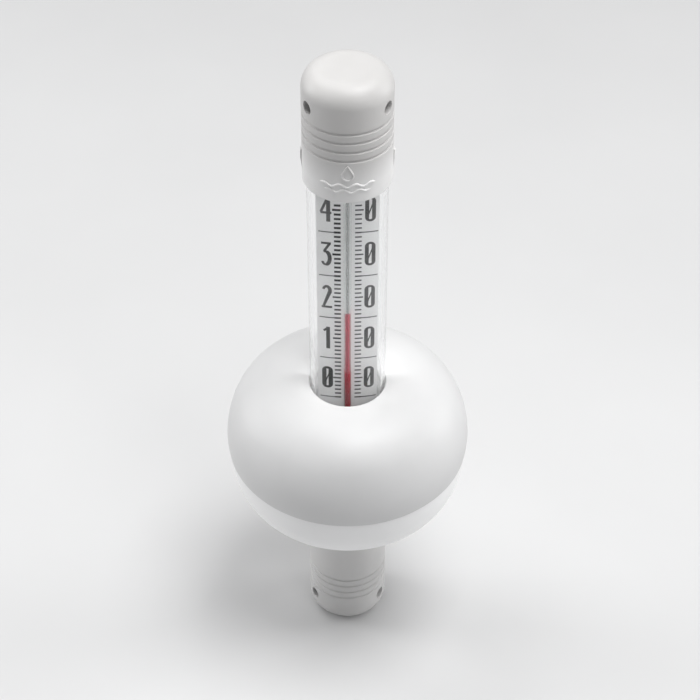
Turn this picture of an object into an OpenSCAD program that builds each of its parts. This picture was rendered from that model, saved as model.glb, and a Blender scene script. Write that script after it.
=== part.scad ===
// Floating pool and pond thermometer: a clear tube with a capped end each side, a spirit
// thermometer on a scale card inside it, and a round two-piece float that slides on the tube.
// The axis is +Z, the scale faces -Y and the flat end of the bottom cap stands at the origin.

/* [Tube] */
// Overall length from flat end to flat end
total_len = 240; // [238:1:246]
// Outer diameter of the clear tube
tube_d = 25.6; // [25.4:0.1:25.8]
// Wall thickness of the clear tube
tube_wall = 1.5; // [1.3:0.1:1.6]

/* [Caps] */
// Outer diameter of both caps
cap_d = 28; // [27.8:0.1:29]
// Length of the top cap
top_cap_len = 40; // [39:1:42]
// Length of the bottom cap, whose rim tucks up under the float
bottom_cap_len = 42; // [41:1:42]
// Radius that rounds each cap's closed end
end_round = 6.5; // [5:0.5:8]
// Depth of the tube's seat, measured from the closed end of a cap
seat_depth = 20; // [19:1:21]
// Number of grip grooves around a cap
groove_count = 4; // [1:1:4]
// Distance between two grip grooves
groove_pitch = 3.25; // [2.5:0.25:3.5]
// Distance from the closed end to the first groove
groove_start = 14.5; // [14:0.5:15]
// Diameter of the three tether holes in each cap
hole_d = 4.3; // [3.5:0.1:5]
// Distance from the closed end to the tether holes
hole_inset = 9.5; // [9:0.5:10]

/* [Float] */
// Largest diameter of the float
float_d = 83.6; // [80:0.2:90]
// Height of the seam between the two float shells
seam_z = 84.9; // [84:0.1:86]
// Height of the float's crown
crown_z = 114.7; // [113:0.1:116]
// Radius at which the crown is highest
crown_r = 20.4; // [19.5:0.1:21]
// Height of the underside of the bowl
bowl_z = 58.8; // [57:0.1:60]
// Wall thickness of the float shells
shell_t = 1.8; // [1.4:0.1:2.2]

/* [Thermometer] */
// Height of the spirit's top at rest
reading_z = 143.6; // [130:0.1:170]
// Diameter of the capillary stem
stem_d = 2.4; // [2.2:0.1:3]
// Diameter of the glass bulb
bulb_d = 6.8; // [6:0.1:8]
// Width of the scale card
card_w = 20.8; // [18:0.1:21]
// Thickness of the scale card
card_t = 0.5; // [0.4:0.1:0.8]
// Bow radius of the scale card
card_bow = 45; // [40:1:80]

/* [Hidden] */
$fn = 96;

tube_r = tube_d / 2;
bore_r = tube_r - tube_wall;
glue_gap = 0.05;
cap_r = cap_d / 2;
cap_wall = 2.2;
rim_round = 0.9;
chamber_r = cap_r - cap_wall;
groove_r = 0.55;
groove_depth = 0.45;
hole_angles = [-150, -30, 90];
// Small moulded lugs on the sides of each cap, just past the last groove
lug_len = 6.4;
lug_w = 1.6;
lug_h = 0.5;
lug_start = 29.3;

// Plugs seal both ends of the tube: a flange under the cap's shoulder and a body in the bore
flange_h = 2;
plug_body_h = 9;
plug_r = bore_r - 0.1;
ring_section = 1.2;
ring_z = 5;
tube_bottom = seat_depth;
tube_top = total_len - seat_depth;
plug_in_bottom = tube_bottom + plug_body_h;
plug_in_top = tube_top - plug_body_h;

// Thermometer, from the bottom up
stem_r = stem_d / 2;
bulb_r = bulb_d / 2;
bulb_wall = 0.5;
bulb_low = 8;
bulb_high = 14;
capillary_r = 0.6;
thread_r = 0.45;
running_gap = 0.05;
thread_low = 46.5;
thread_floor = 6;
reserve_top = 100;
capillary_top = 204;
stem_top = 208.5;
grommet_r = 2.7;
grommet_lip_r = 3.8;
grommet_lip_h = 1;

// Ballast, card and its holders
ballast_r_in = 4.4;
ballast_h = 8;
holder_h = 4;
holder_slot = 2;
holder_low = plug_in_bottom + ballast_h;
holder_high = 204;
card_low = holder_low + holder_h - holder_slot;
card_high = holder_high + holder_slot;
card_y = stem_r + 0.05;
clip_wire = 0.6;
clip_r = stem_r + 0.35;
clip_foot = 2;
clip_heights = [52, 201.5];

// Float
slide_r = tube_r + 0.25;
grip_clear = 0.05;
sleeve_r = cap_r + 0.8;
sleeve_low = bottom_cap_len + 0.4;
sleeve_high = 110;
collar_r = sleeve_r + 1.8;
collar_h = 11;
crown_arc = 20;
side_arc = 30;
bowl_arc = 46.5;
base_arc = 20.5;
seam_step = 0.4;
lip_h = 5;
grip_h = 3;
grip_t = 1.2;
pocket_play = 0.3;
pocket_heights = [47, 103];

// Ring with a rectangular section
module ring(r_in, r_out, z_low, z_high) {
    rotate_extrude() translate([r_in, z_low]) square([r_out - r_in, z_high - z_low]);
}

// Half of a rounded-end bar, r wide and len long, with its closed end at the bottom
module round_end(r, len, fillet) {
    translate([0, fillet]) square([r, len - fillet]);
    square([r - fillet, fillet + 0.01]);
    intersection() {
        translate([r - fillet, fillet]) circle(fillet);
        translate([r - fillet, 0]) square([fillet, fillet]);
    }
}

// Everything outside a quarter round at the rim's outer edge
module rim_corner(len) {
    difference() {
        translate([cap_r - rim_round, len - rim_round]) square(rim_round + 1);
        translate([cap_r - rim_round, len - rim_round]) circle(rim_round);
    }
}

module cap_section(len) {
    difference() {
        round_end(cap_r, len, end_round);
        rim_corner(len);
        translate([0, cap_wall])
            round_end(chamber_r, len, end_round - cap_wall);
        translate([0, seat_depth - flange_h])
            square([tube_r + glue_gap, len]);
        for (i = [0 : groove_count - 1])
            translate([cap_r + groove_r - groove_depth, groove_start + i * groove_pitch])
                circle(groove_r, $fn = 32);
    }
}

// A wedge that rises out of the cap's side and dies away towards the rim
module cap_lug() {
    translate([cap_r - 0.3, 0, lug_start]) rotate([90, 0, 0])
        linear_extrude(height = lug_w, center = true)
            polygon([[0, 0], [0.3 + lug_h, 0], [0.3 + lug_h, lug_len / 2], [0, lug_len]]);
}

// One cap with its closed end on the ground
module cap(len) {
    difference() {
        union() {
            rotate_extrude() cap_section(len);
            for (side = [0, 180]) rotate(side) cap_lug();
        }
        for (a = hole_angles)
            rotate(a) translate([chamber_r - 3, 0, hole_inset])
                rotate([0, 90, 0]) cylinder(h = 10, d = hole_d, $fn = 48);
    }
}

// One end plug with its flange on the ground; the groove holds an O-ring
module plug() {
    rotate_extrude() difference() {
        union() {
            square([tube_r, flange_h]);
            square([plug_r, flange_h + plug_body_h]);
        }
        translate([bore_r - ring_section, flange_h + ring_z - ring_section * 0.6])
            square([ring_section + 1, ring_section * 1.2]);
    }
}

module o_ring(z) {
    translate([0, 0, z]) rotate_extrude()
        translate([bore_r - ring_section / 2, 0]) circle(d = ring_section, $fn = 24);
}

module card_arc(z_low, z_high, grow) {
    translate([0, 0, z_low]) linear_extrude(height = z_high - z_low) intersection() {
        translate([0, card_y + card_bow]) difference() {
            circle(card_bow + grow, $fn = 200);
            circle(card_bow - card_t - grow, $fn = 200);
        }
        translate([-card_w / 2 - grow, 0]) square([card_w + 2 * grow, 8]);
    }
}

module card_holder(z_low, slot_low) {
    difference() {
        ring(stem_r + 0.05, bore_r - 0.2, z_low, z_low + holder_h);
        card_arc(slot_low, slot_low + holder_slot, 0.05);
    }
}

// The bulb's round form, grown or shrunk by its wall
module bulb_form(r) {
    translate([0, 0, bulb_low]) cylinder(h = bulb_high - bulb_low, r = r);
    translate([0, 0, bulb_low]) sphere(r);
    translate([0, 0, bulb_high]) sphere(r);
}

// A wire staple around the stem, with its legs through the card and its feet bent outwards
module stem_clip(z) {
    wire_r = clip_wire / 2;
    foot_y = card_y + card_t + wire_r + 0.1;
    translate([0, 0, z]) {
        rotate(180) rotate_extrude(angle = 180)
            translate([clip_r, 0]) circle(wire_r, $fn = 24);
        for (side = [-1, 1]) {
            translate([side * clip_r, 0, 0]) rotate([-90, 0, 0])
                cylinder(h = foot_y, r = wire_r, $fn = 24);
            translate([side * clip_r, foot_y, 0]) sphere(wire_r, $fn = 24);
            translate([side * clip_r, foot_y, 0]) rotate([0, side * 90, 0])
                cylinder(h = clip_foot, r = wire_r, $fn = 24);
        }
    }
}

// Centres of the two arcs that make the dome: the crown's, and the side's around it
crown_c = [crown_r, crown_z - crown_arc];
side_dx = crown_r - (float_d / 2 - side_arc);
side_c = [float_d / 2 - side_arc, crown_c.y - sqrt(pow(side_arc - crown_arc, 2) - side_dx * side_dx)];

// Half section of the solid dome, shrunk by inset
module dome_section(inset) {
    reach = 8 * (crown_c - side_c);
    translate(crown_c) circle(crown_arc - inset);
    intersection() {
        translate(side_c) circle(side_arc - inset);
        polygon([side_c - reach, side_c + reach, [side_c.x + reach.x, seam_z - 40], [-60, seam_z - 40]]);
    }
}

// Centres of the two arcs that make the bowl: its side's, and its base's inside it
bowl_r = sqrt(side_arc * side_arc - pow(side_c.y - seam_z, 2)) + side_c.x - seam_step;
flank_c = [bowl_r - bowl_arc, seam_z];
base_dz = bowl_z + base_arc - seam_z;
base_c = [flank_c.x + sqrt(pow(bowl_arc - base_arc, 2) - base_dz * base_dz), bowl_z + base_arc];

// Half section of the solid bowl, shrunk by inset
module bowl_section(inset) {
    reach = 4 * (base_c - flank_c);
    translate([0, bowl_z + inset]) square([base_c.x, seam_z - bowl_z]);
    translate(base_c) circle(base_arc - inset);
    intersection() {
        translate(flank_c) circle(bowl_arc - inset);
        polygon([flank_c - [0, 0.01], flank_c + reach, flank_c + [reach.x, 10], flank_c + [0, 10]]);
    }
}

module outer_tube() {
    color([0.85, 0.9, 0.92, 0.35])
        ring(bore_r, tube_r, tube_bottom, tube_top);
}

module top_cap() {
    color([0.77, 0.76, 0.73])
        translate([0, 0, total_len]) mirror([0, 0, 1]) cap(top_cap_len);
}

module bottom_cap() {
    color([0.72, 0.71, 0.69])
        cap(bottom_cap_len);
}

module top_plug() {
    color([0.9, 0.9, 0.88])
        translate([0, 0, tube_top + flange_h]) mirror([0, 0, 1]) plug();
}

module bottom_plug() {
    color([0.9, 0.9, 0.88]) difference() {
        translate([0, 0, tube_bottom - flange_h]) plug();
        translate([0, 0, tube_bottom - flange_h - 1])
            cylinder(h = flange_h + plug_body_h + 2, r = grommet_r);
    }
}

module top_o_ring() {
    color([0.12, 0.12, 0.12]) o_ring(tube_top - ring_z);
}

module bottom_o_ring() {
    color([0.12, 0.12, 0.12]) o_ring(tube_bottom + ring_z);
}

module stem_grommet() {
    color([0.2, 0.2, 0.2]) {
        ring(stem_r, grommet_r, tube_bottom - flange_h, plug_in_bottom + grommet_lip_h);
        ring(stem_r, grommet_lip_r, plug_in_bottom, plug_in_bottom + grommet_lip_h);
    }
}

module ballast_ring() {
    color([0.55, 0.56, 0.58])
        ring(ballast_r_in, bore_r - 0.3, plug_in_bottom, plug_in_bottom + ballast_h);
}

module card_holder_bottom() {
    color([0.93, 0.93, 0.91]) card_holder(holder_low, card_low);
}

module card_holder_top() {
    color([0.93, 0.93, 0.91]) card_holder(holder_high, holder_high);
}

module scale_card() {
    color([0.88, 0.88, 0.88]) difference() {
        card_arc(card_low, card_high, 0);
        for (z = clip_heights, side = [-1, 1])
            translate([side * clip_r, 0, z]) rotate([-90, 0, 0])
                cylinder(h = 8, r = clip_wire / 2 + 0.15, $fn = 24);
    }
}

module glass_stem() {
    color([0.8, 0.86, 0.88, 0.35]) difference() {
        union() {
            bulb_form(bulb_r);
            translate([0, 0, bulb_high]) cylinder(h = stem_top - bulb_high, r = stem_r);
        }
        bulb_form(bulb_r - bulb_wall);
        translate([0, 0, bulb_high]) cylinder(h = capillary_top - bulb_high, r = capillary_r);
        translate([0, 0, capillary_top]) sphere(capillary_r);
    }
}

module stem_clips() {
    color([0.7, 0.7, 0.72]) for (z = clip_heights) stem_clip(z);
}

module stem_pad() {
    color([0.3, 0.3, 0.32])
        translate([0, 0, stem_top]) cylinder(h = plug_in_top - stem_top, r = 4);
}

// Spirit in the bulb and the lower capillary, with a passage that the column runs in
module bulb_spirit() {
    color([0.75, 0.06, 0.1]) difference() {
        union() {
            bulb_form(bulb_r - bulb_wall);
            translate([0, 0, bulb_high]) cylinder(h = reserve_top - bulb_high, r = capillary_r);
        }
        translate([0, 0, thread_floor])
            cylinder(h = reserve_top, r = thread_r + running_gap);
    }
}

module spirit_column() {
    color([0.8, 0.05, 0.1]) {
        translate([0, 0, thread_low])
            cylinder(h = reading_z - thread_r - thread_low, r = thread_r);
        translate([0, 0, reading_z - thread_r]) sphere(thread_r);
    }
}

module float_upper_shell() {
    color([0.95, 0.95, 0.95]) rotate_extrude() difference() {
        intersection() {
            union() {
                difference() {
                    dome_section(0);
                    dome_section(shell_t);
                }
                intersection() {
                    dome_section(0);
                    translate([slide_r, crown_z - shell_t - collar_h]) square([collar_r - slide_r, 40]);
                }
            }
            translate([slide_r, seam_z]) square([float_d, 60]);
        }
        square([sleeve_r + glue_gap, sleeve_high + glue_gap]);
    }
}

module float_lower_shell() {
    lip_r = bowl_r + seam_step - shell_t - 0.1;
    color([0.96, 0.96, 0.96]) rotate_extrude() difference() {
        union() {
            intersection() {
                difference() {
                    bowl_section(0);
                    bowl_section(shell_t);
                }
                translate([slide_r, 0]) square([float_d, seam_z]);
            }
            // Collar around the sleeve
            translate([slide_r, bowl_z]) square([collar_r - slide_r, collar_h]);
            // Lip inside the upper shell
            translate([lip_r - shell_t, seam_z - 4]) square([shell_t, 4 + lip_h]);
        }
        square([sleeve_r + glue_gap, total_len]);
    }
}

// Tube through the float, which stops on the bottom cap; two grooves hold the grip rings
module float_sleeve() {
    color([0.93, 0.93, 0.93]) rotate_extrude() difference() {
        translate([slide_r, sleeve_low]) square([sleeve_r - slide_r, sleeve_high - sleeve_low]);
        for (z = pocket_heights) translate([slide_r - 1, z - pocket_play])
            square([tube_r + 2 * grip_clear + grip_t - slide_r + 1, grip_h + 2 * pocket_play]);
    }
}

module float_grip_rings() {
    color([0.25, 0.25, 0.27]) for (z = pocket_heights)
        ring(tube_r + grip_clear, tube_r + grip_clear + grip_t, z, z + grip_h);
}

outer_tube();
top_cap();
bottom_cap();
top_plug();
bottom_plug();
top_o_ring();
bottom_o_ring();
stem_grommet();
ballast_ring();
card_holder_top();
card_holder_bottom();
scale_card();
glass_stem();
stem_clips();
stem_pad();
bulb_spirit();
spirit_column();
float_upper_shell();
float_lower_shell();
float_sleeve();
float_grip_rings();
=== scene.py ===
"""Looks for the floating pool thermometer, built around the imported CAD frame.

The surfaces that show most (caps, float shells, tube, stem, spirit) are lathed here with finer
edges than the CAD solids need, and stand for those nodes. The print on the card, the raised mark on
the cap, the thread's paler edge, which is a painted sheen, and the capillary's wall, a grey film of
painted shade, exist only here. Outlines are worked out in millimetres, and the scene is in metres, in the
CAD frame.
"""

import math

import bmesh
import bpy
from mathutils import Euler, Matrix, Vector

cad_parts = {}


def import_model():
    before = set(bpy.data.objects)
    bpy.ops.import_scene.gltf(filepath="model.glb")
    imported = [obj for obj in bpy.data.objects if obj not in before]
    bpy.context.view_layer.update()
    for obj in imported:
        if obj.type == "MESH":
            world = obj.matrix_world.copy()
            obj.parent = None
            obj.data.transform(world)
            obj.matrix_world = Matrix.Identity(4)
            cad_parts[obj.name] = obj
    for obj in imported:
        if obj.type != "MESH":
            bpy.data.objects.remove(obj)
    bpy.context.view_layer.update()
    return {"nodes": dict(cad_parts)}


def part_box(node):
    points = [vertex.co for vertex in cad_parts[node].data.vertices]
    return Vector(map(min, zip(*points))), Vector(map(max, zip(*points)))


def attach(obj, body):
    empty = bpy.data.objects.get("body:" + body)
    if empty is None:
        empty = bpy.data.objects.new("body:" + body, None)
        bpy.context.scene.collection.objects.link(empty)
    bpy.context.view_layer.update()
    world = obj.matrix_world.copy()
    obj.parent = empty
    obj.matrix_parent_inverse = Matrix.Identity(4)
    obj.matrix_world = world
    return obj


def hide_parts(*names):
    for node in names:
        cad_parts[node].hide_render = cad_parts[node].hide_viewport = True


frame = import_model()
MM = 0.001
ROOT, SPIRIT, FLOAT = "thermometer", "spirit", "float"


# ---------------------------------------------------------------- dimensions, in millimetres
def span(node):
    """A CAD node's lowest and highest corner, in millimetres."""
    low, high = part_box(node)
    return low / MM, high / MM


BALLAST_GAP, GLUE_GAP, SLIDE_GAP = 0.3, 0.05, 0.25

tube_low, tube_high = span("outer_tube")
TUBE_R = tube_high.x
BORE_R = span("ballast_ring")[1].x + BALLAST_GAP
TUBE_EDGE = 0.25

CAP_R = span("top_cap")[1].y
TOTAL = span("top_cap")[1].z
TOP_CAP_LEN = TOTAL - span("top_cap")[0].z
BOTTOM_CAP_LEN = span("bottom_cap")[1].z
SKIRT_Z = TOTAL - TOP_CAP_LEN
END_ROUND, RIM_ROUND, MOUTH_ROUND = 6.5, 0.9, 0.12
CAP_WALL, SHOULDER_W = 2.2, 2
SOCKET_R = TUBE_R + GLUE_GAP
SHOULDER = tube_low.z - SHOULDER_W
GROOVE_R, GROOVE_DEPTH, GROOVE_START, GROOVE_PITCH, GROOVES = 0.55, 0.45, 14.5, 3.25, 4
GROOVE_LIP, LIP_DROP, LIP_TURN = 0.14, 0.02, 6
HOLE_R, HOLE_INSET, HOLE_ANGLES, HOLE_FLARE = 2.15, 9.5, (-150, -30, 90), 0.15
LUG_START, LUG_LEN, LUG_W, LUG_H, LUG_ROOT, LUG_ROUND = 29.3, 6.4, 1.6, 0.5, 0.4, 0.15
MARK_Z = SKIRT_Z + 8.2

FLOAT_R = span("float_upper_shell")[1].x
SEAM_Z = span("float_upper_shell")[0].z
CROWN_Z = span("float_upper_shell")[1].z
BOWL_Z = span("float_lower_shell")[0].z
SLEEVE_R, SLEEVE_TOP = span("float_sleeve")[1].x, 110
SLIDE_R = TUBE_R + SLIDE_GAP
SHELL_T = 1.8
COLLAR_R, COLLAR_H = SLEEVE_R + 1.8, 11
CROWN_R, CROWN_ARC, SIDE_ARC, BOWL_ARC, BASE_ARC = 20.4, 20, 30, 46.5, 20.5
SEAM_STEP, LIP_UNDER, LIP_OVER = 0.4, 4, 5

STEM_R, STEM_LOW, STEM_TOP, STEM_ROUND = 1.2, 18, span("glass_stem")[1].z, 0.5
BULB_R, BULB_LOW, BULB_HIGH, BULB_WALL = 3.4, 8, 14, 0.5
BORE_SKIN_R, BORE_LOW, CAPILLARY_TOP = 0.3, 17.4, 204
THREAD_LOW, READING_Z = span("spirit_column")[0].z, span("spirit_column")[1].z
# The liquid is drawn a little wider than the bore and the bulb's hollow, so that it wets the glass. EDGE is
# how far the thread's paler sleeve, a painted sheen, stands out around it.
THREAD_R, RESERVE_R, EDGE, WET = 0.37, 0.52, 0.18, 0.008
RESERVE_TOP, NECK_Z, NECK_TAPER = 100, 117.2, 1.2

CARD_FRONT, CARD_BOW = span("scale_card")[0].y, 45
INK_H, INK_ROOT = 0.035, 0.01
ZERO_Z, DEGREE = 113.35, 1.815
COLDEST, HOTTEST, HEAVY_FROM = -5, 46, 24
LEFT_FIGURE_X, RIGHT_FIGURE_X = -6.9, 7.35
LEFT_TICK, RIGHT_TICK = (-4.35, -2.2), (2.4, 4.55)
LEFT_LINE, RIGHT_LINE = -9.5, 10.0
HEAVY_THICK, LEFT_THICK, RIGHT_THICK, LINE_THICK = 0.82, 0.68, 0.55, 0.4
TEN_EXTRA, ZERO_SWELL = 0.55, 1.18
BOW_STEP, BAR_STEP = 0.5, 0.7
# Condensed figures: half width, half height, heavy and light stroke.
HW, HH, BOLD, FINE = 1.78, 4.85, 1.3, 0.85


# ---------------------------------------------------------------- mesh helpers
SHARP = 32


def arc(cx, cz, r, start, end, steps=12):
    """Points of a circular arc in (radius, height), with angles in degrees."""
    turn = [math.radians(start + (end - start) * i / steps) for i in range(steps + 1)]
    return [(cx + r * math.cos(a), cz + r * math.sin(a)) for a in turn]


def run(start, end, steps):
    """Evenly spaced points strictly between two points."""
    return [tuple(a + (b - a) * i / steps for a, b in zip(start, end)) for i in range(1, steps)]


def between(start, end, *parts):
    """Points at these parts of the way from one point to another."""
    return [tuple(a + (b - a) * part for a, b in zip(start, end)) for part in parts]


def face_outwards(piece):
    shape = bmesh.new()
    shape.from_mesh(piece.data)
    bmesh.ops.recalc_face_normals(shape, faces=shape.faces)
    shape.to_mesh(piece.data)
    shape.free()


def link(name, vertices, faces, sharp=SHARP):
    """A new mesh object from millimetre vertices, smooth except across sharp edges."""
    mesh = bpy.data.meshes.new(name)
    mesh.from_pydata([tuple(c * MM for c in v) for v in vertices], [], faces)
    mesh.validate()
    mesh.shade_smooth()
    mesh.set_sharp_from_angle(angle=math.radians(sharp))
    piece = bpy.data.objects.new(name, mesh)
    bpy.context.scene.collection.objects.link(piece)
    face_outwards(piece)
    return piece


def lathe(name, outline, segments=224, loop=True, sharp=SHARP):
    """Turns an outline of (radius, height) points around the axis. A radius of 0 makes a pole."""
    vertices, rings = [], []
    for r, z in outline:
        if r < 1e-6:
            rings.append([len(vertices)] * segments)
            vertices.append((0, 0, z))
        else:
            rings.append(list(range(len(vertices), len(vertices) + segments)))
            for i in range(segments):
                a = 2 * math.pi * i / segments
                vertices.append((r * math.cos(a), r * math.sin(a), z))
    faces = []
    pairs = list(zip(rings, rings[1:])) + ([(rings[-1], rings[0])] if loop else [])
    for low, high in pairs:
        for i in range(segments):
            j = (i + 1) % segments
            corners = list(dict.fromkeys((low[i], low[j], high[j], high[i])))
            if len(corners) > 2:
                faces.append(corners)
    return link(name, vertices, faces, sharp)


def ring_faces(count, n, closed=False):
    """Faces between successive rings of n vertices, with an end face on each side unless they close."""
    faces = []
    for i in range(count if closed else count - 1):
        j = (i + 1) % count
        for k in range(n):
            m = (k + 1) % n
            faces.append((i * n + k, i * n + m, j * n + m, j * n + k))
    if not closed:
        faces += [tuple(range(n)), tuple(range((count - 1) * n, count * n))[::-1]]
    return faces


def merge(name, pieces):
    """Joins mesh objects into one object."""
    bpy.ops.object.select_all(action="DESELECT")
    for piece in pieces:
        piece.select_set(True)
    bpy.context.view_layer.objects.active = pieces[0]
    bpy.ops.object.join()
    pieces[0].name = pieces[0].data.name = name
    return pieces[0]


def apply_modifiers(piece):
    """Replaces a piece's mesh by its evaluated one."""
    evaluated = piece.evaluated_get(bpy.context.evaluated_depsgraph_get())
    mesh = bpy.data.meshes.new_from_object(evaluated)
    piece.modifiers.clear()
    piece.data = mesh
    mesh.name = piece.name


def carve(piece, cutter):
    """Cuts one closed mesh out of another."""
    tool = piece.modifiers.new("carve", "BOOLEAN")
    tool.operation, tool.solver, tool.object = "DIFFERENCE", "EXACT", cutter
    bpy.context.view_layer.update()
    apply_modifiers(piece)
    bpy.data.objects.remove(cutter)
    piece.data.shade_smooth()
    piece.data.set_sharp_from_angle(angle=math.radians(SHARP))


# ---------------------------------------------------------------- materials
# The Mix node's colour sockets, whose names its other sockets share.
MIX_A, MIX_B, MIX_RESULT = 6, 7, 2
# Depths of the plastics' surface grain, in metres.
GRAIN, FINE_GRAIN = 0.00001, 0.000006


class Shader:
    """A Principled material that its node helpers add to."""

    def __init__(self, name, **values):
        self.material = bpy.data.materials.new(name)
        self.material.use_nodes = True
        self.tree = self.material.node_tree
        self.bsdf = self.tree.nodes["Principled BSDF"]
        self.output = self.tree.nodes["Material Output"]
        for socket, value in values.items():
            self.bsdf.inputs[socket.replace("_", " ")].default_value = value
        self.coords = self.node("ShaderNodeTexCoord").outputs["Object"]

    def node(self, kind, **settings):
        made = self.tree.nodes.new(kind)
        for key, value in settings.items():
            setattr(made, key, value)
        return made

    def wire(self, source, target):
        self.tree.links.new(source, target)

    def noise(self, scale, detail=4, stretch=(1, 1, 1)):
        """Noise over the object's own metres, finer along a stretched axis."""
        mapping = self.node("ShaderNodeMapping")
        mapping.inputs["Scale"].default_value = stretch
        self.wire(self.coords, mapping.inputs["Vector"])
        made = self.node("ShaderNodeTexNoise")
        made.inputs["Scale"].default_value = scale
        made.inputs["Detail"].default_value = detail
        self.wire(mapping.outputs["Vector"], made.inputs["Vector"])
        return made.outputs["Fac"]

    def ramp(self, factor, dark, light, low=0.35, high=0.65):
        """A colour that goes from dark to light as the factor rises from low to high."""
        made = self.node("ShaderNodeValToRGB")
        for element, place, tint in zip(made.color_ramp.elements, (low, high), (dark, light)):
            element.position = place
            element.color = (*tint, 1)
        self.wire(factor, made.inputs["Fac"])
        return made.outputs["Color"]

    def colour(self, factor, dark, light, low=0.35, high=0.65):
        self.wire(self.ramp(factor, dark, light, low, high), self.bsdf.inputs["Base Color"])

    def by_height(self, low, high, below, above):
        """A colour that turns from one into another between two heights, in millimetres."""
        split = self.node("ShaderNodeSeparateXYZ")
        self.wire(self.coords, split.inputs["Vector"])
        height = self.node("ShaderNodeMapRange")
        height.inputs["From Min"].default_value = low * MM
        height.inputs["From Max"].default_value = high * MM
        self.wire(split.outputs["Z"], height.inputs["Value"])
        mix = self.node("ShaderNodeMix", data_type="RGBA")
        self.wire(height.outputs["Result"], mix.inputs["Factor"])
        self.wire(below, mix.inputs[MIX_A])
        self.wire(above, mix.inputs[MIX_B])
        self.wire(mix.outputs[MIX_RESULT], self.bsdf.inputs["Base Color"])

    def rough(self, factor, low, high):
        made = self.node("ShaderNodeMapRange")
        made.inputs["From Min"].default_value = 0.3
        made.inputs["From Max"].default_value = 0.7
        made.inputs["To Min"].default_value = low
        made.inputs["To Max"].default_value = high
        self.wire(factor, made.inputs["Value"])
        self.wire(made.outputs["Result"], self.bsdf.inputs["Roughness"])

    def bump(self, factor, height, strength=1.0):
        """A surface relief of this height, in metres."""
        made = self.node("ShaderNodeBump")
        made.inputs["Strength"].default_value = strength
        made.inputs["Distance"].default_value = height
        self.wire(factor, made.inputs["Height"])
        self.wire(made.outputs["Normal"], self.bsdf.inputs["Normal"])

    def moulded_skin(self, rough, grain=GRAIN):
        """The fine skin and varied gloss of injection-moulded plastic."""
        self.rough(self.noise(240, 6), rough - 0.05, rough + 0.06)
        self.bump(self.noise(1800, 3), grain, 0.5)

    def lamps_pass(self):
        """Lets lamplight through the glass, so that what is inside is lit."""
        path = self.node("ShaderNodeLightPath")
        clear = self.node("ShaderNodeBsdfTransparent")
        mix = self.node("ShaderNodeMixShader")
        self.wire(path.outputs["Is Shadow Ray"], mix.inputs["Fac"])
        self.wire(self.bsdf.outputs["BSDF"], mix.inputs[1])
        self.wire(clear.outputs["BSDF"], mix.inputs[2])
        self.wire(mix.outputs["Shader"], self.output.inputs["Surface"])


def grey(value, warm=0.0):
    return (value * (1 + warm), value, value * (1 - warm))


def lighter(tint, gain):
    return tuple(c * gain for c in tint)


def moulded(name, dark, light, rough, grain=GRAIN):
    """Injection-moulded plastic with faint clouding in the colour."""
    made = Shader(name, IOR=1.5)
    made.colour(made.noise(60), dark, light)
    made.moulded_skin(rough, grain)
    return made.material


def skirted_with_painted_glow(name, body, skirt, low, high, rough):
    """Moulded plastic that turns paler towards its open end: a painted glow for light coming through the
    thin skirt over the clear tube.
    """
    made = Shader(name, IOR=1.5)
    clouds = made.noise(60)
    below, above = (made.ramp(clouds, tint, lighter(tint, 1.05)) for tint in (skirt, body))
    made.by_height(low, high, below, above)
    made.moulded_skin(rough)
    return made.material


def clear(name, dark, light, ior):
    """Clear glass or plastic with a faint clouding."""
    made = Shader(name, IOR=ior, Roughness=0.0, Transmission_Weight=1.0)
    made.colour(made.noise(35, 2), dark, light)
    made.lamps_pass()
    return made.material


def shade_film(name, dark, light, alpha):
    """A thin see-through grey layer inside the stem: painted shade."""
    made = Shader(name, Roughness=0.5, IOR=1.0, Alpha=alpha)
    made.colour(made.noise(60, 2), dark, light)
    return made.material


def spirit(name, deep, fine, **values):
    """Crimson below the neck and pinker above it. The pink is a painted reflection of the bright
    surroundings over the red, which the float's rim keeps off lower down.
    """
    made = Shader(name, **values)
    clouds = made.noise(60, 2)
    below, above = (made.ramp(clouds, tint, lighter(tint, 1.15)) for tint in (deep, fine))
    made.by_height(NECK_Z - 0.5, NECK_Z + 1.0, below, above)
    return made.material


def card():
    made = Shader("printed_card", IOR=1.46)
    made.colour(made.noise(140, 5), grey(0.91), grey(0.94))
    made.rough(made.noise(400), 0.42, 0.55)
    made.bump(made.noise(3000, 2), 0.000008, 0.4)
    return made.material


def ink(name, dark, light):
    made = Shader(name, IOR=1.45)
    made.colour(made.noise(70, 3), grey(dark), grey(light), 0.4, 0.6)
    made.rough(made.noise(1200), 0.4, 0.6)
    return made.material


def rubber():
    made = Shader("seal_rubber", IOR=1.5)
    made.colour(made.noise(300), grey(0.018), grey(0.03))
    made.rough(made.noise(500), 0.6, 0.75)
    made.bump(made.noise(2500), 0.00001, 0.5)
    return made.material


def foam():
    made = Shader("pad_foam", IOR=1.4)
    made.colour(made.noise(1600), grey(0.04), grey(0.09))
    made.rough(made.noise(500), 0.85, 0.95)
    made.bump(made.noise(1500), 0.00008, 0.8)
    return made.material


def steel(name, value, stretch):
    made = Shader(name, Metallic=1.0)
    made.colour(made.noise(500, 5, stretch), grey(value * 0.85), grey(value))
    made.rough(made.noise(700, 5, stretch), 0.25, 0.42)
    made.bump(made.noise(900, 4, stretch), 0.000006, 0.5)
    return made.material


# The top cap's paler skirt colour is a painted glow, for light coming through the thin plastic over the
# clear tube.
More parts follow.
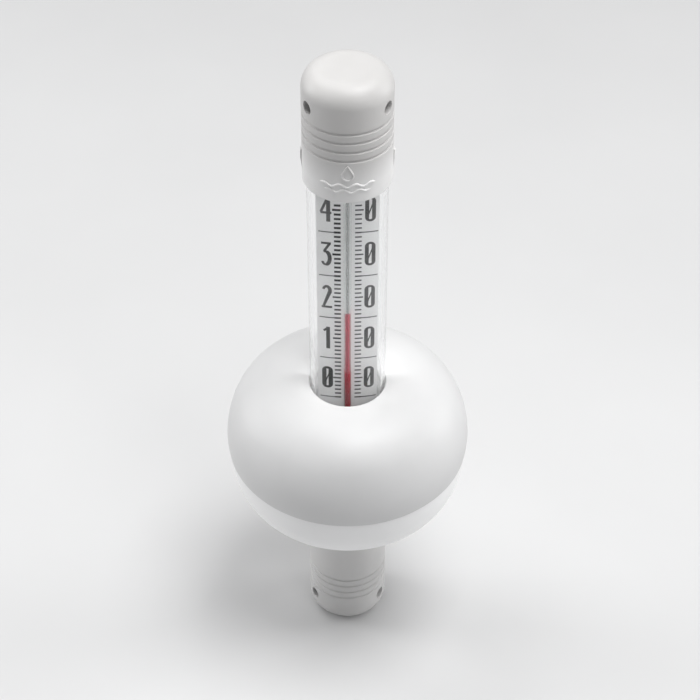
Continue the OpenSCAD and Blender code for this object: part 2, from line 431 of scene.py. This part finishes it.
CAP_TOP_PAINTED_GLOW_MATERIAL = skirted_with_painted_glow("cap_plastic_top_painted_glow", grey(0.535, 0.015), grey(0.75, 0.005),
                           SKIRT_Z + 6, SKIRT_Z + 16, 0.45)
# The bottom cap is the same plastic as the top cap, given a paler grey as painted light against the float's
# shade over it.
CAP_BOTTOM_PAINTED_LIGHT_MATERIAL = moulded("cap_plastic_bottom_painted_light", grey(0.57, 0.01), grey(0.6, 0.01), 0.42)
# The float is one white plastic. The dome gets a darker grey as painted shade, and the bowl a paler one as
# painted light from below, so the band under the seam looks brighter.
DOME_PAINTED_SHADE_MATERIAL = moulded("float_plastic_dome_painted_shade", grey(0.64), grey(0.66), 0.48, FINE_GRAIN)
BOWL_PAINTED_LIGHT_MATERIAL = moulded("float_plastic_bowl_painted_light", grey(0.92), grey(0.94), 0.48, FINE_GRAIN)
PLUG_MATERIAL = moulded("plug_plastic", grey(0.72), grey(0.76), 0.4)
TUBE_MATERIAL = clear("tube_clear", (0.985, 0.99, 0.99), (0.99, 0.992, 0.995), 1.28)
STEM_MATERIAL = clear("stem_glass", (0.965, 0.985, 0.98), (0.97, 0.99, 0.985), 1.5)
# The spirit's pinker colour above the neck is a painted reflection of the bright surroundings. Below the
# neck it is the plain crimson.
SPIRIT_PAINTED_VEIL_MATERIAL = spirit("red_spirit_painted_veil", (0.37, 0.002, 0.016), (0.46, 0.11, 0.14),
                         Roughness=0.3, IOR=1.36)
# The edge material is a paler, see-through red: painted sheen on the thread's edges.
SPIRIT_PAINTED_SHEEN_MATERIAL = spirit("red_spirit_painted_sheen", (0.52, 0.01, 0.04), (0.54, 0.04, 0.08),
                              Roughness=0.5, IOR=1.0, Alpha=0.3)
# The capillary's grey wall is painted shade for the empty bore above the spirit.
CAPILLARY_SHADE_MATERIAL = shade_film("capillary_painted_shade", grey(0.3), grey(0.36), 0.4)
CARD_MATERIAL = card()
# The grey of the plain dial ink is a painted reflection of the tube's veil over the print. The heavy ink is
# the print's black, where that veil is absent.
INK_MATERIAL = ink("dial_ink", 0.04, 0.1)
HEAVY_INK_MATERIAL = ink("dial_ink_heavy", 0.004, 0.01)
RUBBER_MATERIAL = rubber()
FOAM_MATERIAL = foam()
BALLAST_MATERIAL = steel("ballast_steel", 0.5, (1, 1, 12))
GRIP_MATERIAL = moulded("grip_silicone", grey(0.66), grey(0.72), 0.5)
WIRE_MATERIAL = steel("wire_steel", 0.6, (1, 1, 1))


def finish(piece, body, material, slot, *nodes):
    """Gives a piece its material, its body and the CAD nodes it stands for. The slot argument is not used.
    """
    piece.data.materials.clear()
    piece.data.materials.append(material)
    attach(piece, body)
    if nodes:
        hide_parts(*nodes)
    return piece


# ---------------------------------------------------------------- caps
def groove(z):
    """A rounded channel around the cap, with softened lips, from its low side to its high side."""
    centre = CAP_R + GROOVE_R - GROOVE_DEPTH
    half = math.degrees(math.asin((centre - CAP_R) / GROOVE_R))
    channel = arc(centre, z, GROOVE_R, 270 - half - LIP_TURN, 90 + half + LIP_TURN, 10)
    bottom, top = channel[0][1], channel[-1][1]
    low = [(CAP_R, bottom - GROOVE_LIP), (CAP_R - LIP_DROP, bottom - GROOVE_LIP / 3)]
    high = [(CAP_R - LIP_DROP, top + GROOVE_LIP / 3), (CAP_R, top + GROOVE_LIP)]
    return low + channel + high


def cap_outline(length):
    """The cap's half section with its closed end at height 0."""
    points = [(0, 0)] + run((0, 0), (CAP_R - END_ROUND, 0), 4)
    points += arc(CAP_R - END_ROUND, END_ROUND, END_ROUND, -90, 0, 28)
    above = points[-1]
    for i in range(GROOVES):
        channel = groove(GROOVE_START + i * GROOVE_PITCH)
        points += run(above, channel[0], 18 if i == 0 else 6) + channel
        above = channel[-1]
    points += run(above, (CAP_R, length - RIM_ROUND), 12)
    points += arc(CAP_R - RIM_ROUND, length - RIM_ROUND, RIM_ROUND, 0, 80, 8)
    points += arc(SOCKET_R + MOUTH_ROUND, length - MOUTH_ROUND, MOUTH_ROUND, 90, 180, 4)
    points += run((SOCKET_R, length - MOUTH_ROUND), (SOCKET_R, SHOULDER), 10)
    chamber = CAP_R - CAP_WALL
    fillet = END_ROUND - CAP_WALL
    points += [(SOCKET_R, SHOULDER), (chamber, SHOULDER)]
    points += run((chamber, SHOULDER), (chamber, CAP_WALL + fillet), 14)
    points += arc(chamber - fillet, CAP_WALL + fillet, fillet, 0, -90, 12)
    points.append((0, CAP_WALL))
    return points


def hole_cutter(angle):
    """A drill with a slightly flared mouth, lying along the cap's radius."""
    tip, tail = CAP_R - CAP_WALL - 3, CAP_R + 3
    drill = lathe("cutter", [
        (0, tip), (HOLE_R, tip), (HOLE_R, CAP_R - 2 * HOLE_FLARE), (HOLE_R + 0.04, CAP_R - HOLE_FLARE),
        (HOLE_R + 0.25, CAP_R + 0.3), (0, tail)], 64, loop=False)
    for turn in (Euler((0, math.radians(90), 0)), Euler((0, 0, math.radians(angle)))):
        drill.data.transform(turn.to_matrix().to_4x4())
    for vertex in drill.data.vertices:
        vertex.co.z += HOLE_INSET * MM
    return drill


def lug(side):
    """A wedge on the cap's side, thickest towards the grooves and dying away towards the rim."""
    soft, half = LUG_ROUND, LUG_W / 2
    profile = [(LUG_START, 0), (LUG_START, LUG_H - soft), (LUG_START + soft, LUG_H),
               (LUG_START + LUG_LEN / 2, LUG_H), (LUG_START + LUG_LEN, 0)]
    vertices = []
    for y, sunk in ((-half, soft), (-half + soft, 0), (half - soft, 0), (half, soft)):
        vertices += [(side * (CAP_R + max(0, h - sunk)), y, z) for z, h in profile]
        vertices += [(side * (CAP_R - LUG_ROOT), y, z) for z in (LUG_START + LUG_LEN, LUG_START)]
    return link("lug", vertices, ring_faces(4, len(profile) + 2), 40)


def cap(name, length, flipped, material, node):
    """A whole cap, with its closed end down, or up where it is flipped."""
    body = lathe(name, cap_outline(length))
    for angle in HOLE_ANGLES:
        carve(body, hole_cutter(angle))
    body = merge(name, [body, lug(1), lug(-1)])
    if flipped:
        for vertex in body.data.vertices:
            vertex.co.z = TOTAL * MM - vertex.co.z
        body.data.flip_normals()
    return finish(body, ROOT, material, "cap_plastic", node)


cap("cap_top_moulding", TOP_CAP_LEN, True, CAP_TOP_PAINTED_GLOW_MATERIAL, "top_cap")
cap("cap_bottom_moulding", BOTTOM_CAP_LEN, False, CAP_BOTTOM_PAINTED_LIGHT_MATERIAL, "bottom_cap")


# ---------------------------------------------------------------- raised mark on the top cap
def on_cap(u, v, lift=0.0):
    """A point on the front of the top cap, u across and v up from the mark's middle."""
    a = u / CAP_R
    return ((CAP_R + lift) * math.sin(a), -(CAP_R + lift) * math.cos(a), MARK_Z + v)


def bead(points, half=0.38, height=0.42, closed=False):
    """A raised rounded line that follows points on the cap's front, finer at its open ends."""
    vertices = []
    count = len(points)
    section = [(-1, -0.25), (-0.82, 0.45), (-0.4, 0.9), (0, 1), (0.4, 0.9), (0.82, 0.45), (1, -0.25)]
    for i, (u, v) in enumerate(points):
        before = points[i - 1] if i or closed else points[i]
        after = points[(i + 1) % count] if i < count - 1 or closed else points[i]
        du, dv = after[0] - before[0], after[1] - before[1]
        size = math.hypot(du, dv) or 1
        end = 1 if closed else min(1, 0.35 + 0.65 * min(i, count - 1 - i) / 2)
        for s, h in section:
            vertices.append(on_cap(u - dv / size * s * half * end, v + du / size * s * half * end,
                                   h * height * (end if h > 0 else 1)))
    return link("bead", vertices, ring_faces(count, len(section), closed), 60)


def wave(v, half_width, height, turns, steps=44):
    """A ripple of this many turns that fades out at both ends."""
    line = []
    for i in range(steps + 1):
        t = i / steps
        fade = math.sin(math.pi * t) ** 0.3 if 0 < t < 1 else 0
        line.append(((2 * t - 1) * half_width, v + height * fade * math.sin(2 * math.pi * turns * t)))
    return line


def drop_outline(v, size):
    """A water drop with its point up."""
    belly = arc(0, v, size, 150, 390, 20)
    tip = (0, v + 2.1 * size)
    return belly + between(belly[-1], tip, 0.35, 0.7) + [tip] + between(tip, belly[0], 0.3, 0.65)


mark = merge("cap_mark", [bead(wave(-3.3, 7.2, 0.6, 3)), bead(wave(-1.3, 8.8, 0.6, 3.5)),
                          bead(drop_outline(2.5, 1.7), closed=True)])
finish(mark, ROOT, CAP_TOP_PAINTED_GLOW_MATERIAL, "cap_plastic")


# ---------------------------------------------------------------- tube
def tube_outline():
    """The tube wall's half section, with softened ends."""
    soft = TUBE_EDGE
    low, high = tube_low.z + soft, tube_high.z - soft
    inner = [(BORE_R, low)] + run((BORE_R, low), (BORE_R, high), 24) + [(BORE_R, high)]
    outer = [(TUBE_R, z) for _, z in reversed(inner)]
    top = arc(BORE_R + soft, high, soft, 180, 90, 4)[1:] + arc(TUBE_R - soft, high, soft, 90, 0, 4)[:-1]
    bottom = arc(TUBE_R - soft, low, soft, 0, -90, 4)[1:]
    bottom += arc(BORE_R + soft, low, soft, -90, -180, 4)[:-1]
    return inner + top + outer + bottom


tube = lathe("tube_clear", tube_outline(), 256, sharp=50)
finish(tube, ROOT, TUBE_MATERIAL, "clear_tube", "outer_tube")


# ---------------------------------------------------------------- float
# Centres of the arcs that meet smoothly in the dome and in the bowl, and where they meet.
crown_c = (CROWN_R, CROWN_Z - CROWN_ARC)
side_dx = CROWN_R - (FLOAT_R - SIDE_ARC)
side_c = (FLOAT_R - SIDE_ARC, crown_c[1] - math.sqrt((SIDE_ARC - CROWN_ARC) ** 2 - side_dx ** 2))
dome_turn = math.degrees(math.atan2(crown_c[1] - side_c[1], crown_c[0] - side_c[0]))
seam_half = math.sqrt(SIDE_ARC ** 2 - (side_c[1] - SEAM_Z) ** 2) + side_c[0]
bowl_r = seam_half - SEAM_STEP
flank_c = (bowl_r - BOWL_ARC, SEAM_Z)
base_dz = BOWL_Z + BASE_ARC - SEAM_Z
base_c = (flank_c[0] + math.sqrt((BOWL_ARC - BASE_ARC) ** 2 - base_dz ** 2), BOWL_Z + BASE_ARC)
bowl_turn = math.degrees(math.atan2(base_c[1] - flank_c[1], base_c[0] - flank_c[0]))


def dome_line(inset, seam, inner_r, steps=40):
    """The dome's outline from its seam to its middle, shrunk by inset."""
    side, crown = SIDE_ARC - inset, CROWN_ARC - inset
    low = math.degrees(math.asin((seam - side_c[1]) / side))
    last = 180 - math.degrees(math.acos((crown_c[0] - inner_r) / crown))
    return arc(*side_c, side, low, dome_turn, steps) + arc(*crown_c, crown, dome_turn, last, steps)[1:]


def dome_outline():
    """The dome's half section: a softened seam edge, the dome, the hole's rim and the collar."""
    lip = 0.35
    outer = dome_line(0, SEAM_Z + 0.25, SLIDE_R + lip)
    seam_r, mouth_z = outer[0][0], outer[-1][1]
    edge = [(seam_r - 1.1, SEAM_Z), (seam_r - 0.45, SEAM_Z), (seam_r - 0.12, SEAM_Z + 0.08)]
    seat, collar_z = SLEEVE_TOP + GLUE_GAP, CROWN_Z - SHELL_T - COLLAR_H
    rim = [(SLIDE_R + lip * 0.45, mouth_z - lip * 0.16), (SLIDE_R + lip * 0.1, mouth_z - lip * 0.5),
           (SLIDE_R, mouth_z - lip), (SLIDE_R, seat)]
    inner = dome_line(SHELL_T, SEAM_Z + 0.2, COLLAR_R)
    collar = [(SLEEVE_R + GLUE_GAP, seat), (SLEEVE_R + GLUE_GAP, collar_z), (COLLAR_R, collar_z)]
    return edge + outer + rim + collar + inner[::-1] + [(inner[0][0], SEAM_Z)]


def bowl_line(inset, steps=36):
    """The bowl's outline from its seam to its base, shrunk by inset."""
    return arc(*flank_c, BOWL_ARC - inset, 0, bowl_turn, steps)[1:] \
        + arc(*base_c, BASE_ARC - inset, bowl_turn, -90, steps)[1:]


def bowl_outline():
    """The bowl's half section: a softened top edge, the bowl, the collar and the lip in the dome."""
    hole, soft = SLEEVE_R + GLUE_GAP, 0.3
    lip_r = seam_half - SHELL_T - 0.1
    top, collar_z = SEAM_Z - GLUE_GAP, BOWL_Z + COLLAR_H
    points = [(bowl_r - 0.15, top), (bowl_r - 0.03, top - 0.1)] + bowl_line(0)
    points += [(hole + soft, BOWL_Z), (hole, BOWL_Z + soft), (hole, collar_z), (COLLAR_R, collar_z)]
    points += [(COLLAR_R, BOWL_Z + SHELL_T)] + bowl_line(SHELL_T)[::-1]
    points += [(lip_r - SHELL_T, SEAM_Z - LIP_UNDER), (lip_r - SHELL_T, SEAM_Z + LIP_OVER)]
    return points + [(lip_r, SEAM_Z + LIP_OVER), (lip_r, top)]


dome = lathe("float_dome", dome_outline(), 288, sharp=40)
finish(dome, FLOAT, DOME_PAINTED_SHADE_MATERIAL, "float_plastic", "float_upper_shell")
bowl = lathe("float_bowl", bowl_outline(), 288, sharp=40)
finish(bowl, FLOAT, BOWL_PAINTED_LIGHT_MATERIAL, "float_plastic", "float_lower_shell")


# ---------------------------------------------------------------- stem and spirit
def bulb_line(r, inner_r):
    """The bulb's outline from its lowest point up to where it meets a bar of radius inner_r."""
    last = 90 - math.degrees(math.asin(inner_r / r))
    return arc(0, BULB_LOW, r, -90, 0, 20) + arc(0, BULB_HIGH, r, 0, last, 16)


def stem_outline():
    """The glass stem's outside: the bulb, the rod and its rounded top."""
    shoulder = STEM_TOP - STEM_ROUND
    outer = bulb_line(BULB_R, STEM_R) + run((STEM_R, STEM_LOW), (STEM_R, shoulder), 60)
    return outer + arc(STEM_R - STEM_ROUND, shoulder, STEM_ROUND, 0, 90, 6) + [(0, STEM_TOP)]


def bore_outline():
    """The stem's inside: the bulb's hollow and the capillary."""
    inner = bulb_line(BULB_R - BULB_WALL, BORE_SKIN_R)
    inner += run((BORE_SKIN_R, BORE_LOW), (BORE_SKIN_R, CAPILLARY_TOP), 60)
    return inner + arc(0, CAPILLARY_TOP, BORE_SKIN_R, 0, 90, 8)


stem_skin = lathe("stem_skin", stem_outline(), 96, loop=False, sharp=60)
bore_skin = lathe("bore_skin", bore_outline(), 64, loop=False, sharp=60)
bore_skin.data.flip_normals()
stem = merge("stem_glass", [stem_skin, bore_skin])
finish(stem, ROOT, STEM_MATERIAL, "capillary_glass", "glass_stem")


def thread_outline(edge):
    """The thread is wide below the neck and narrow from there up to its meniscus."""
    r, wide, taper_z = THREAD_R + edge, RESERVE_R + edge, NECK_Z + NECK_TAPER
    line = [(0, THREAD_LOW), (wide, THREAD_LOW)] + run((wide, THREAD_LOW), (wide, NECK_Z), 24)
    line += [(wide, NECK_Z), (r, taper_z)] + run((r, taper_z), (r, READING_Z - r), 24)
    return line + arc(0, READING_Z, r, 0, 90, 8)


def reserve_outline():
    """The liquid that stays in the bulb and in the low end of the bore."""
    inner = bulb_line(BULB_R - BULB_WALL + WET, RESERVE_R + WET)
    top = (RESERVE_R + WET, RESERVE_TOP)
    return inner + run(inner[-1], top, 30) + [top, (0, RESERVE_TOP)]


def capillary_shade_outline():
    """A grey wall of painted shade just inside the thread's own surface, for the empty bore's darker look.
    The thread hides it up to its top.
    """
    r = (BORE_SKIN_R + THREAD_R) / 2
    line = [(0, NECK_Z), (r, NECK_Z)] + run((r, NECK_Z), (r, CAPILLARY_TOP), 40)
    return line + [(r, CAPILLARY_TOP), (0, CAPILLARY_TOP + r)]


thread = lathe("spirit_thread", thread_outline(0), 48, loop=False)
finish(thread, SPIRIT, SPIRIT_PAINTED_VEIL_MATERIAL, "spirit_red", "spirit_column")
# The paler see-through sleeve around the thread is a painted sheen, for the lighter edges that the glass
# rod's lens effect gives it.
thread_painted_sheen = lathe("spirit_painted_sheen", thread_outline(EDGE), 48, loop=False)
finish(thread_painted_sheen, SPIRIT, SPIRIT_PAINTED_SHEEN_MATERIAL, "spirit_red")
capillary = lathe("capillary_painted_shade", capillary_shade_outline(), 48, loop=False)
finish(capillary, ROOT, CAPILLARY_SHADE_MATERIAL, "capillary_glass")
reserve = lathe("spirit_reserve", reserve_outline(), 48, loop=False)
finish(reserve, ROOT, SPIRIT_PAINTED_VEIL_MATERIAL, "spirit_red", "bulb_spirit")


# ---------------------------------------------------------------- print on the card
def on_card(x, z, lift=0.0):
    """A point on the bowed card's front face."""
    r = CARD_BOW + lift
    return (x, CARD_FRONT + CARD_BOW - math.sqrt(r * r - x * x), z)


def ribbon(left, right, closed):
    """A thin layer of ink between two edges, each a list of (x, z) points on the card."""
    vertices = []
    for a, b in zip(left, right):
        vertices += [on_card(*a, INK_H), on_card(*b, INK_H), on_card(*b, -INK_ROOT), on_card(*a, -INK_ROOT)]
    return vertices, ring_faces(len(left), 4, closed)


def follow_bow(points, widths, closed):
    """Adds points along a line's wide steps, so that the ink bends with the card."""
    ends = points[1:] + points[:1] if closed else points[1:]
    wides = widths[1:] + widths[:1] if closed else widths[1:]
    fine, fine_widths = [], []
    for p, q, w, v in zip(points, ends, widths, wides):
        steps = max(1, math.ceil(abs(q[0] - p[0]) / BOW_STEP))
        for i in range(steps):
            fine.append(tuple(a + (b - a) * i / steps for a, b in zip(p, q)))
            fine_widths.append(w + (v - w) * i / steps)
    if not closed:
        fine.append(points[-1])
        fine_widths.append(widths[-1])
    return fine, fine_widths


class Print:
    """Collects ribbons of ink into one mesh."""

    def __init__(self):
        self.vertices, self.faces = [], []

    def add(self, left, right, closed=False):
        vertices, faces = ribbon(left, right, closed)
        base = len(self.vertices)
        self.vertices += vertices
        self.faces += [tuple(base + i for i in face) for face in faces]

    def bar(self, x0, x1, z, thick):
        steps = max(2, int(abs(x1 - x0) / BAR_STEP))
        xs = [x0 + (x1 - x0) * i / steps for i in range(steps + 1)]
        self.add([(x, z + thick / 2) for x in xs], [(x, z - thick / 2) for x in xs])

    def stroke(self, points, widths, closed=False):
        """A line with a width at each point, mitred at its corners."""
        if isinstance(widths, (int, float)):
            widths = [widths] * len(points)
        points, widths = follow_bow(points, widths, closed)
        count = len(points)
        left, right = [], []
        for i, (x, z) in enumerate(points):
            before = points[i - 1] if i or closed else None
            after = points[(i + 1) % count] if i < count - 1 or closed else None
            legs = []
            if before is not None:
                legs.append(Vector((x - before[0], z - before[1])).normalized())
            if after is not None:
                legs.append(Vector((after[0] - x, after[1] - z)).normalized())
            along = sum(legs, Vector((0, 0))).normalized()
            side = Vector((-along.y, along.x))
            miter = 1 / max(0.45, side.dot(Vector((-legs[0].y, legs[0].x))))
            reach = side * widths[i] / 2 * miter
            left.append((x + reach.x, z + reach.y))
            right.append((x - reach.x, z - reach.y))
        self.add(left, right, closed)

    def piece(self, name):
        return link(name, self.vertices, self.faces, 30)


def bend(cx, cz, rx, rz, start, end, steps=8):
    """Points of an elliptical arc, with angles in degrees."""
    turn = [math.radians(start + (end - start) * i / steps) for i in range(steps + 1)]
    return [(cx + rx * math.cos(a), cz + rz * math.sin(a)) for a in turn]


def figure(kind):
    """The strokes of one figure, 0 to 4, around its own middle: a list of (points, widths, closed)."""
    x, top = HW - BOLD / 2, HH - FINE / 2
    if kind == 0:
        ring, rx, rz = [], 0.9, 1.2
        for cx, cz, start in ((x - rx, top - rz, 0), (rx - x, top - rz, 90),
                              (rx - x, rz - top, 180), (x - rx, rz - top, 270)):
            ring += bend(cx, cz, rx, rz, start, start + 90, 6)
        width = [FINE + (BOLD - FINE) * min(1, max(0, (HH - 0.5 - abs(z)) / 1.0)) for _, z in ring]
        return [(ring, width, True), ([(-x + 0.3, -top + 1.9), (x - 0.3, top - 1.9)], 0.42, False)]
    if kind == 1:
        return [([(0.35, top + FINE / 2), (0.35, -HH)], BOLD, False),
                ([(-1.15, top - 1.35), (-0.1, top - 0.45)], 0.85, False)]
    if kind == 2:
        curve = bend(0, top - 1.7, x, 1.7, 165, -20, 12)
        widths = [FINE + (BOLD - FINE) * i / 12 for i in range(13)]
        return [(curve + [(-x + 0.1, -HH + 0.9)], widths + [FINE], False),
                ([(-HW, -HH + FINE / 2), (HW, -HH + FINE / 2)], FINE, False)]
    if kind == 3:
        curve = bend(-0.25, -1.75, x + 0.25, 2.75, 82, -80, 12)
        curve += bend(-0.25, -top + 1.5, x - 0.1, 1.5, -95, -172, 6)
        widths = [FINE] + [BOLD] * 11 + [FINE] * 8
        return [([(-HW + 0.1, HH - FINE / 2), (HW - 0.25, HH - FINE / 2)], FINE, False),
                ([(HW - 0.65, HH - 0.5), (-0.75, 1.05)], FINE, False),
                ([(-0.9, 1.0), (0.1, 1.0)], FINE, False), (curve, widths, False)]
    return [([(0.75, HH), (0.75, -HH)], BOLD, False),
            ([(0.5, HH - 0.3), (-HW + 0.1, -1.15)], FINE, False),
            ([(-HW, -1.3), (HW, -1.3)], FINE, False)]


def height_of(degrees):
    """The height of a temperature on the scale."""
    return ZERO_Z + DEGREE * degrees


def draw_marks(heavy):
    """The degree lines. Most are in grey ink, a painted reflection of the tube's veil over the print. The
    left ticks of the warm end are in black ink and drawn thicker.
    """
    marks = Print()
    for degrees in range(COLDEST, HOTTEST + 1):
        z = height_of(degrees)
        ten, five = degrees % 10 == 0, degrees % 5 == 0
        extra = TEN_EXTRA if ten else 0
        if heavy == (degrees >= HEAVY_FROM):
            marks.bar(LEFT_TICK[0] - extra, LEFT_TICK[1], z, HEAVY_THICK if heavy else LEFT_THICK)
        if heavy:
            continue
        marks.bar(RIGHT_TICK[0], RIGHT_TICK[1] + extra, z, RIGHT_THICK)
        if five and not ten:
            marks.bar(LEFT_LINE, LEFT_TICK[0], z, LINE_THICK)
            marks.bar(RIGHT_TICK[1], RIGHT_LINE, z, LINE_THICK)
    return marks.piece("scale_marks_heavy" if heavy else "scale_marks")


def draw_figures(heavy):
    """The figures. The zero on the left is in black ink with its ring drawn wider. The rest are in grey
    ink, a painted reflection of the tube's veil over the print.
    """
    figures = Print()
    for tens in range(5):
        for kind, x in ((tens, LEFT_FIGURE_X), (0, RIGHT_FIGURE_X)):
            if heavy != (tens == 0 and x == LEFT_FIGURE_X):
                continue
            for points, widths, closed in figure(kind):
                placed = [(px + x, pz + height_of(10 * tens)) for px, pz in points]
                if heavy and closed:
                    widths = [w * ZERO_SWELL for w in widths]
                figures.stroke(placed, widths, closed)
    return figures.piece("scale_figures_heavy" if heavy else "scale_figures")


for heavy, material in ((False, INK_MATERIAL), (True, HEAVY_INK_MATERIAL)):
    finish(draw_marks(heavy), ROOT, material, "card_plastic")
    finish(draw_figures(heavy), ROOT, material, "card_plastic")


# ---------------------------------------------------------------- CAD nodes that stay as they are
def repaint(node, material):
    """Gives a CAD node its material and smooth shading."""
    piece = frame["nodes"][node]
    if not piece.material_slots:
        piece.data.materials.append(material)
    for each in piece.material_slots:
        each.material = material
    piece.data.shade_smooth()
    piece.data.set_sharp_from_angle(angle=math.radians(30))


for node in ("top_plug", "bottom_plug", "card_holder_top", "card_holder_bottom"):
    repaint(node, PLUG_MATERIAL)
for node in ("top_o_ring", "bottom_o_ring", "stem_grommet"):
    repaint(node, RUBBER_MATERIAL)
repaint("float_grip_rings", GRIP_MATERIAL)
repaint("scale_card", CARD_MATERIAL)
repaint("ballast_ring", BALLAST_MATERIAL)
repaint("stem_clips", WIRE_MATERIAL)
repaint("stem_pad", FOAM_MATERIAL)
repaint("float_sleeve", BOWL_PAINTED_LIGHT_MATERIAL)


# ---------------------------------------------------------------- floor, lights and camera
def floor():
    made = Shader("studio_floor", Roughness=0.6)
    made.colour(made.noise(8), grey(0.65), grey(0.67))
    mesh = bpy.data.meshes.new("floor")
    half = 3.0
    corners = [(x * half, y * half, 0) for x, y in ((-1, -1), (1, -1), (1, 1), (-1, 1))]
    mesh.from_pydata(corners, [], [(0, 1, 2, 3)])
    piece = bpy.data.objects.new("floor", mesh)
    mesh.materials.append(made.material)
    bpy.context.scene.collection.objects.link(piece)


def softbox(name, place, aim, size, watts):
    """A rectangular lamp that faces a point, in metres, and isn't seen through the clear tube."""
    lamp = bpy.data.lights.new(name, "AREA")
    lamp.shape = "RECTANGLE"
    lamp.size, lamp.size_y = size
    lamp.energy = watts
    made = bpy.data.objects.new(name, lamp)
    made.location = place
    made.visible_transmission = False
    made.rotation_euler = (Vector(aim) - Vector(place)).to_track_quat("-Z", "Y").to_euler()
    bpy.context.scene.collection.objects.link(made)


def world(strength):
    made = bpy.data.worlds.new("studio")
    made.use_nodes = True
    back = made.node_tree.nodes["Background"]
    back.inputs["Color"].default_value = (0.96, 0.97, 1.0, 1)
    back.inputs["Strength"].default_value = strength
    bpy.context.scene.world = made


CAMERA_ELEVATION, CAMERA_DISTANCE, AIM_Z = 42.76, 0.6165, 0.127
SENSOR_MM, LENS_MM, SHIFT_X = 36, 94.6, 0.0035


def camera():
    lens = bpy.data.cameras.new("camera")
    lens.sensor_width, lens.lens, lens.shift_x = SENSOR_MM, LENS_MM, SHIFT_X
    made = bpy.data.objects.new("camera", lens)
    rise = math.radians(CAMERA_ELEVATION)
    made.location = (0, -CAMERA_DISTANCE * math.cos(rise), AIM_Z + CAMERA_DISTANCE * math.sin(rise))
    made.rotation_euler = (math.radians(90) - rise, 0, 0)
    bpy.context.scene.collection.objects.link(made)
    bpy.context.scene.camera = made


floor()
world(0.19)
softbox("key", (0.25, -0.1, 1.16), (0, 0, 0.1), (0.6, 0.5), 9.8)
softbox("front_box", (0.32, -0.55, 0.62), (0, 0, 0.12), (0.35, 0.25), 0.7)
softbox("top_box", (-0.38, 0.36, 0.93), (0, 0, 0.1), (0.6, 0.45), 3.0)
softbox("left_box", (-1.1, 0.26, 0.42), (0, 0, 0.14), (0.45, 0.65), 5.4)
softbox("right_box", (1.1, 0.26, 0.34), (0, 0, 0.1), (0.45, 0.6), 4.8)
camera()
bpy.context.scene.view_settings.view_transform = "Standard"
